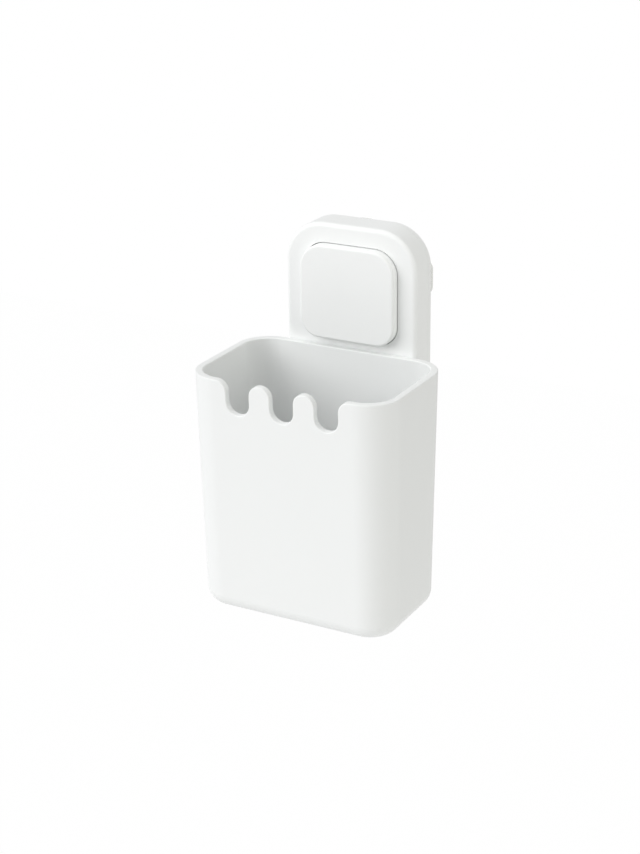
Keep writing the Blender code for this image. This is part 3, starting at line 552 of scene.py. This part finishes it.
def make_button():
    """Moulds the button's cap with its round front edge."""
    builder = bmesh.new()
    rows = []
    for inset, height in edge_profile(BUTTON_EDGE, BUTTON_FRONT) + [(0.0, BUTTON_BACK)]:
        rows.append([builder.verts.new((x, -height, z)) for x, z in button_outline(inset)])
    for upper, lower in zip(rows, rows[1:]):
        bridge(builder, upper, lower, closed=True)
    builder.faces.new(rows[0][::-1])
    bmesh.ops.recalc_face_normals(builder, faces=builder.faces)
    cap = add_object("button_moulding", mesh_from(builder, "button_moulding"))
    solidify(cap, BUTTON_WALL)
    round_edges(cap, FINE_ROUND, FINE_STEPS, FINE_ANGLE)
    return smooth(settle(cap))


def make_pad():
    """Moulds the soft pad with a rounded lip, fine rings on its underside and the release tab.

    The tab starts inside the lip, so that its outline never crosses itself.
    """
    lip_inner = PAD_RADIUS - LIP_WIDTH
    span = lip_inner - PAD_CENTRE_RADIUS
    outer, under = [], []
    for step in range(PAD_STEPS + 1):
        share = step / PAD_STEPS
        lift = BUTTON_TRAVEL * (1 - (1 - math.cos(math.pi * share)) / 2)
        radius = PAD_CENTRE_RADIUS + span * share
        rings = 0.0
        if RINGS_FROM < share < RINGS_TO:
            rings = RING_HEIGHT * math.sin(math.pi * RING_COUNT * share) ** 2
        under.append((radius, lift + rings))
        outer.append((radius, lift + PAD_MEMBRANE))
    edge = [
        (PAD_RADIUS - LIP_ROUND * (1 - math.sin(a)), LIP_HEIGHT - LIP_ROUND * (1 - math.cos(a)))
        for a in quarter_turn(LIP_ROUND_STEPS)
    ]
    profile = (
        [(STEM_RADIUS, PAD_FRONT), (PAD_CENTRE_RADIUS - PAD_MEMBRANE, PAD_FRONT)]
        + outer
        + edge
        + [(PAD_RADIUS, LIP_FOOT), (PAD_RADIUS - LIP_FOOT, 0.0)]
        + under[::-1]
        + [(0, BUTTON_TRAVEL), (0, FOOT_BACK), (FOOT_RADIUS, FOOT_BACK)]
        + [(FOOT_RADIUS, FOOT_FRONT), (STEM_RADIUS, FOOT_FRONT)]
    )
    pad = add_object("pad_moulding", turned("pad_moulding", profile))
    half, steps = TAB_WIDTH / 2, CORNER_STEPS // 2
    tab = (
        [(lip_inner + LIP_WIDTH / 4, TAB_Z - half)]
        + arc(TAB_REACH - TAB_CORNER, TAB_Z - half + TAB_CORNER, TAB_CORNER, -90, 0, steps)
        + arc(TAB_REACH - TAB_CORNER, TAB_Z + half - TAB_CORNER, TAB_CORNER, 0, 90, steps)
        + [(lip_inner - LIP_WIDTH / 2, TAB_Z + half)]
    )
    join(pad, prism("tab", tab, LIP_HEIGHT / 6, LIP_HEIGHT * 5 / 6))
    settle(pad)
    round_edges(pad, PAD_ROUND, PAD_ROUND_STEPS, PAD_ROUND_ANGLE)
    return smooth(settle(pad))


def make_spring():
    """Winds the return spring from round wire."""
    builder = bmesh.new()
    steps = int(SPRING_TURNS * SPRING_TURN_STEPS)
    rows = []
    for index in range(steps + 1):
        share = index / steps
        angle = 2 * math.pi * SPRING_TURNS * share
        out = Vector((math.cos(angle), 0, math.sin(angle)))
        rise = -(SPRING_BACK + (SPRING_FRONT - SPRING_BACK) * share)
        centre = out * SPRING_RADIUS + Vector((0, rise, 0))
        row = []
        for side in range(WIRE_STEPS):
            turn = 2 * math.pi * side / WIRE_STEPS
            offset = out * math.cos(turn) + Vector((0, math.sin(turn), 0))
            row.append(builder.verts.new(centre + offset * SPRING_WIRE))
        rows.append(row)
    for first, second in zip(rows, rows[1:]):
        bridge(builder, first, second, closed=True)
    builder.faces.new(rows[0][::-1])
    builder.faces.new(rows[-1])
    bmesh.ops.recalc_face_normals(builder, faces=builder.faces)
    return smooth(add_object("spring_coil", mesh_from(builder, "spring_coil")))


def make_screw(name, x, z, head_back, direction):
    """Makes a pan-head screw with a cross recess. Its direction is 1 off the wall, -1 to the wall."""
    seat = head_back + direction * HEAD_HEIGHT
    end = seat + direction * SCREW_LENGTH
    crown = [
        (HEAD_RADIUS * math.sin(a), head_back + direction * HEAD_CROWN * (1 - math.cos(a)))
        for a in quarter_turn(CROWN_STEPS)
    ]
    shank = [(SHANK_RADIUS, seat), (SHANK_RADIUS, end - direction * SCREW_TIP), (0, end)]
    profile = crown + [(HEAD_RADIUS, seat)] + shank
    screw = add_object(name, turned(name, profile, x, z, ROD_STEPS))
    depth = head_back + direction * CROSS_DEPTH
    near = head_back - direction * CROSS_CLEAR
    for wide, high in ((CROSS_LONG, CROSS_WIDE), (CROSS_WIDE, CROSS_LONG)):
        low = (x - wide, -max(near, depth), z - high)
        cut(screw, block("recess", low, (x + wide, -min(near, depth), z + high)))
    return smooth(settle(screw))


def make_bumper(name, side):
    """Makes one soft bumper with a rounded face."""
    edge = [
        (BUMPER_RADIUS - BUMPER_ROUND * (1 - math.cos(a)), BUMPER_ROUND * (1 - math.sin(a)))
        for a in quarter_turn(BUMPER_ROUND_STEPS)
    ]
    profile = [(0, BUMPER_HEIGHT), (BUMPER_RADIUS, BUMPER_HEIGHT)] + edge + [(0, 0)]
    return smooth(add_object(name, turned(name, profile, side * BUMPER_X, BUMPER_Z)))


# Materials

GRAIN_DETAIL, GRAIN_ROUGHNESS = 3.0, 0.55
BROAD_SCALE, BROAD_DETAIL = 38.0, 4.0
NOISE_MIDDLE = 0.5
BUMP_DISTANCE = 0.00006


def node(tree, kind, **values):
    """Adds a node and sets its plain properties."""
    made = tree.nodes.new(kind)
    for key, value in values.items():
        setattr(made, key, value)
    return made


def moulded_surface():
    """Builds the group that gives a colour and a roughness fine grain and faint unevenness."""
    group = bpy.data.node_groups.new("moulded_surface", "ShaderNodeTree")
    sockets = group.interface
    sockets.new_socket("Colour", in_out="INPUT", socket_type="NodeSocketColor")
    for name in ("Grain Scale", "Tint", "Roughness", "Spread"):
        sockets.new_socket(name, in_out="INPUT", socket_type="NodeSocketFloat")
    sockets.new_socket("Colour", in_out="OUTPUT", socket_type="NodeSocketColor")
    sockets.new_socket("Roughness", in_out="OUTPUT", socket_type="NodeSocketFloat")
    sockets.new_socket("Height", in_out="OUTPUT", socket_type="NodeSocketFloat")
    start = node(group, "NodeGroupInput")
    end = node(group, "NodeGroupOutput")
    place = node(group, "ShaderNodeTexCoord")
    grain = node(group, "ShaderNodeTexNoise")
    grain.inputs["Detail"].default_value = GRAIN_DETAIL
    grain.inputs["Roughness"].default_value = GRAIN_ROUGHNESS
    group.links.new(place.outputs["Object"], grain.inputs["Vector"])
    group.links.new(start.outputs["Grain Scale"], grain.inputs["Scale"])
    broad = node(group, "ShaderNodeTexNoise")
    broad.inputs["Scale"].default_value = BROAD_SCALE
    broad.inputs["Detail"].default_value = BROAD_DETAIL
    group.links.new(place.outputs["Object"], broad.inputs["Vector"])
    centred = node(group, "ShaderNodeMath", operation="SUBTRACT")
    centred.inputs[1].default_value = NOISE_MIDDLE
    group.links.new(broad.outputs["Fac"], centred.inputs[0])
    tinted = node(group, "ShaderNodeMath", operation="MULTIPLY_ADD")
    tinted.inputs[2].default_value = 1.0
    group.links.new(centred.outputs[0], tinted.inputs[0])
    group.links.new(start.outputs["Tint"], tinted.inputs[1])
    colour = node(group, "ShaderNodeVectorMath", operation="SCALE")
    group.links.new(start.outputs["Colour"], colour.inputs[0])
    group.links.new(tinted.outputs[0], colour.inputs["Scale"])
    rough_share = node(group, "ShaderNodeMath", operation="SUBTRACT")
    rough_share.inputs[1].default_value = NOISE_MIDDLE
    group.links.new(grain.outputs["Fac"], rough_share.inputs[0])
    both = node(group, "ShaderNodeMath", operation="ADD")
    group.links.new(rough_share.outputs[0], both.inputs[0])
    group.links.new(centred.outputs[0], both.inputs[1])
    rough = node(group, "ShaderNodeMath", operation="MULTIPLY_ADD", use_clamp=True)
    group.links.new(both.outputs[0], rough.inputs[0])
    group.links.new(start.outputs["Spread"], rough.inputs[1])
    group.links.new(start.outputs["Roughness"], rough.inputs[2])
    group.links.new(colour.outputs[0], end.inputs["Colour"])
    group.links.new(rough.outputs[0], end.inputs["Roughness"])
    group.links.new(grain.outputs["Fac"], end.inputs["Height"])
    return group


def make_finish(name, colour, roughness, grain, bump, tint=0.012, spread=0.06, **shader_values):
    """Makes a material from the moulded surface group and plain shader values."""
    material = bpy.data.materials.new(name)
    material.use_nodes = True
    tree = material.node_tree
    shader = tree.nodes["Principled BSDF"]
    surface = node(tree, "ShaderNodeGroup", node_tree=SURFACE)
    surface.inputs["Colour"].default_value = (*colour, 1.0)
    surface.inputs["Grain Scale"].default_value = grain
    surface.inputs["Tint"].default_value = tint
    surface.inputs["Roughness"].default_value = roughness
    surface.inputs["Spread"].default_value = spread
    relief = node(tree, "ShaderNodeBump")
    relief.inputs["Strength"].default_value = bump
    relief.inputs["Distance"].default_value = BUMP_DISTANCE
    tree.links.new(surface.outputs["Colour"], shader.inputs["Base Color"])
    tree.links.new(surface.outputs["Roughness"], shader.inputs["Roughness"])
    tree.links.new(surface.outputs["Height"], relief.inputs["Height"])
    tree.links.new(relief.outputs["Normal"], shader.inputs["Normal"])
    for socket, value in shader_values.items():
        shader.inputs[socket].default_value = value
    return material


SURFACE = moulded_surface()
# The shell and button colours are lighter than the cup's as painted light: it stands in for the light
# that the cup keeps off the plate and the button.
cup_white = make_finish(
    "cup_white_satin", (0.878, 0.891, 0.886), roughness=0.50, grain=2600, bump=0.10
)
shell_painted_lighter = make_finish(
    "shell_white_satin", (0.926, 0.938, 0.933), roughness=0.52, grain=2600, bump=0.10
)
button_painted_lighter = make_finish(
    "button_white_satin", (0.930, 0.942, 0.937), roughness=0.50, grain=2600, bump=0.08
)
inner_white = make_finish(
    "inner_white_plain", (0.78, 0.79, 0.79), roughness=0.45, grain=1800, bump=0.15
)
steel = make_finish(
    "bright_steel", (0.62, 0.62, 0.63), roughness=0.28, grain=3200, bump=0.10, tint=0.05, spread=0.12,
    Metallic=1.0,
)
# The pad's colour is raised as painted light, which lightens its tab where it sits in the housing's
# shadow.
soft_clear_painted_lighter = make_finish(
    "clear_elastomer_soft", (0.89, 0.895, 0.845), roughness=0.24, grain=900, bump=0.05, tint=0.02,
    spread=0.08, IOR=1.43, Alpha=0.42,
)
soft_grey = make_finish(
    "grey_elastomer_soft", (0.55, 0.56, 0.56), roughness=0.60, grain=2200, bump=0.25
)


def dress(piece, material, body, node_name):
    """Gives a piece its material and its place in the assembly. The pad rides on no single body."""
    piece.data.materials.clear()
    piece.data.materials.append(material)
    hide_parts(node_name)
    if body:
        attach(piece, body)
    return piece


dress(make_cup(), cup_white, "holder", "cup")
dress(make_cover(), shell_painted_lighter, "holder", "arch_cover")
dress(make_housing(), shell_painted_lighter, "holder", "rear_housing")
dress(make_button(), button_painted_lighter, "button", "button_cap")
pad = dress(make_pad(), soft_clear_painted_lighter, None, "suction_pad")
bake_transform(pad)
spring = dress(make_spring(), steel, "holder", "return_spring")
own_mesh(spring)
for side_name, side in (("left", -1), ("right", 1)):
    for spot, (x, z) in SCREW_SPOTS.items():
        screw = make_screw(spot + "_" + side_name + "_driven", side * x, z, HEAD_BACK, 1)
        dress(screw, steel, "holder", spot + "_" + side_name)
    bumper = make_bumper("bumper_" + side_name + "_soft", side)
    dress(bumper, soft_grey, "holder", "bumper_" + side_name)
stem_screw = make_screw("stem_screw_driven", 0, 0, STEM_HEAD_FRONT, -1)
dress(stem_screw, steel, "button", "stem_screw")
for name in ("button_carrier", "pull_stem"):
    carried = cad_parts[name]
    carried.data.materials.clear()
    carried.data.materials.append(inner_white)


# Studio

LAMP_SIZE, LAMP_DISTANCE = 3.0, 4.0
HOLDER_MIDDLE = Vector((0, -0.04, -0.05))
FLOOR_Z, FLOOR_REACH, FLOOR_GLOW = -0.42, 1.0, 0.985
FLOOR_COLOUR, FLOOR_ROUGHNESS = (0.94, 0.94, 0.94, 1), 0.9
SENSOR_WIDTH, PICTURE_HEIGHT, NEAREST_SEEN = 36.0, 854.0, 0.01
WHITE = (1, 1, 1, 1)


def make_floor():
    """Lays a pale floor well below the holder, which hangs.

    Camera, glossy and transmission rays see it nearly white. It still takes the holder's shadow.
    """
    builder = bmesh.new()
    bmesh.ops.create_grid(builder, x_segments=8, y_segments=8, size=FLOOR_REACH)
    floor = add_object("studio_floor", mesh_from(builder, "studio_floor"))
    floor.location = (0, 0, FLOOR_Z)
    material = bpy.data.materials.new("studio_floor_pale")
    material.use_nodes = True
    tree = material.node_tree
    shader = tree.nodes["Principled BSDF"]
    shader.inputs["Base Color"].default_value = FLOOR_COLOUR
    shader.inputs["Roughness"].default_value = FLOOR_ROUGHNESS
    glow = node(tree, "ShaderNodeEmission")
    rays = node(tree, "ShaderNodeLightPath")
    seen = node(tree, "ShaderNodeMath", operation="MAXIMUM")
    clear = node(tree, "ShaderNodeMath", operation="MAXIMUM")
    share = node(tree, "ShaderNodeMath", operation="MULTIPLY")
    share.inputs[1].default_value = FLOOR_GLOW
    mix = node(tree, "ShaderNodeMixShader")
    tree.links.new(rays.outputs["Is Camera Ray"], seen.inputs[0])
    tree.links.new(rays.outputs["Is Glossy Ray"], seen.inputs[1])
    tree.links.new(seen.outputs[0], clear.inputs[0])
    tree.links.new(rays.outputs["Is Transmission Ray"], clear.inputs[1])
    tree.links.new(clear.outputs[0], share.inputs[0])
    tree.links.new(share.outputs[0], mix.inputs["Fac"])
    tree.links.new(shader.outputs[0], mix.inputs[1])
    tree.links.new(glow.outputs[0], mix.inputs[2])
    tree.links.new(mix.outputs[0], tree.nodes["Material Output"].inputs["Surface"])
    floor.data.materials.append(material)


def make_world(ambient):
    """Makes a white world that lights the holder softly and shows white to the camera."""
    world = bpy.data.worlds.new("studio_white")
    bpy.context.scene.world = world
    world.use_nodes = True
    tree = world.node_tree
    tree.nodes.clear()
    out = node(tree, "ShaderNodeOutputWorld")
    soft = node(tree, "ShaderNodeBackground")
    soft.inputs["Strength"].default_value = ambient
    soft.inputs["Color"].default_value = WHITE
    white = node(tree, "ShaderNodeBackground")
    white.inputs["Strength"].default_value = 1.0
    white.inputs["Color"].default_value = WHITE
    rays = node(tree, "ShaderNodeLightPath")
    mix = node(tree, "ShaderNodeMixShader")
    tree.links.new(rays.outputs["Is Camera Ray"], mix.inputs["Fac"])
    tree.links.new(soft.outputs[0], mix.inputs[1])
    tree.links.new(white.outputs[0], mix.inputs[2])
    tree.links.new(mix.outputs[0], out.inputs["Surface"])


def add_lamp(name, azimuth, elevation, power, colour=(1, 1, 1)):
    """Adds a square soft lamp that points at the holder. Its angles are in degrees."""
    a, e = math.radians(azimuth), math.radians(elevation)
    lamp = bpy.data.lights.new(name, "AREA")
    lamp.shape = "SQUARE"
    lamp.size = LAMP_SIZE
    lamp.energy = power
    lamp.color = colour
    item = bpy.data.objects.new(name, lamp)
    bpy.context.scene.collection.objects.link(item)
    towards = Vector((math.sin(a) * math.cos(e), -math.cos(a) * math.cos(e), math.sin(e)))
    item.location = HOLDER_MIDDLE + towards * LAMP_DISTANCE
    item.rotation_euler = (-towards).to_track_quat("-Z", "Y").to_euler()


def add_camera(azimuth, elevation, roll, focal, shift_right, shift_up, distance):
    """Places the camera as the photograph's was.

    Angles are in degrees, the focal length is in pixels, and the rest is in millimetres.
    """
    a, e, r = map(math.radians, (azimuth, elevation, roll))
    right = Vector((math.cos(a), math.sin(a), 0))
    back = Vector((math.sin(a) * math.cos(e), -math.cos(a) * math.cos(e), math.sin(e)))
    up = back.cross(right)
    place = back * distance - right * shift_right - up * shift_up
    place = place / 1000 + Vector((0, CUP_BACK_Y, RIM_Z))
    turned_right = right * math.cos(r) - up * math.sin(r)
    turned_up = right * math.sin(r) + up * math.cos(r)
    camera = bpy.data.objects.new("photo_camera", bpy.data.cameras.new("photo_camera"))
    bpy.context.scene.collection.objects.link(camera)
    camera.matrix_world = Matrix((turned_right, turned_up, back)).transposed().to_4x4()
    camera.location = place
    camera.data.sensor_width = SENSOR_WIDTH
    camera.data.lens = focal * SENSOR_WIDTH / PICTURE_HEIGHT
    camera.data.clip_start = NEAREST_SEEN
    bpy.context.scene.camera = camera


make_floor()
make_world(ambient=0.495)
add_lamp("key_left", azimuth=-40, elevation=30, power=94.5)
add_lamp("fill_right", azimuth=80, elevation=10, power=32.0, colour=(1.0, 0.99, 0.88))
add_lamp("top", azimuth=0, elevation=82, power=29.0)
add_camera(
    azimuth=28.80,
    elevation=21.40,
    roll=0.70,
    focal=1890.3,
    shift_right=12.51,
    shift_up=31.67,
    distance=758.64,
)
bpy.context.scene.view_settings.view_transform = "Standard"
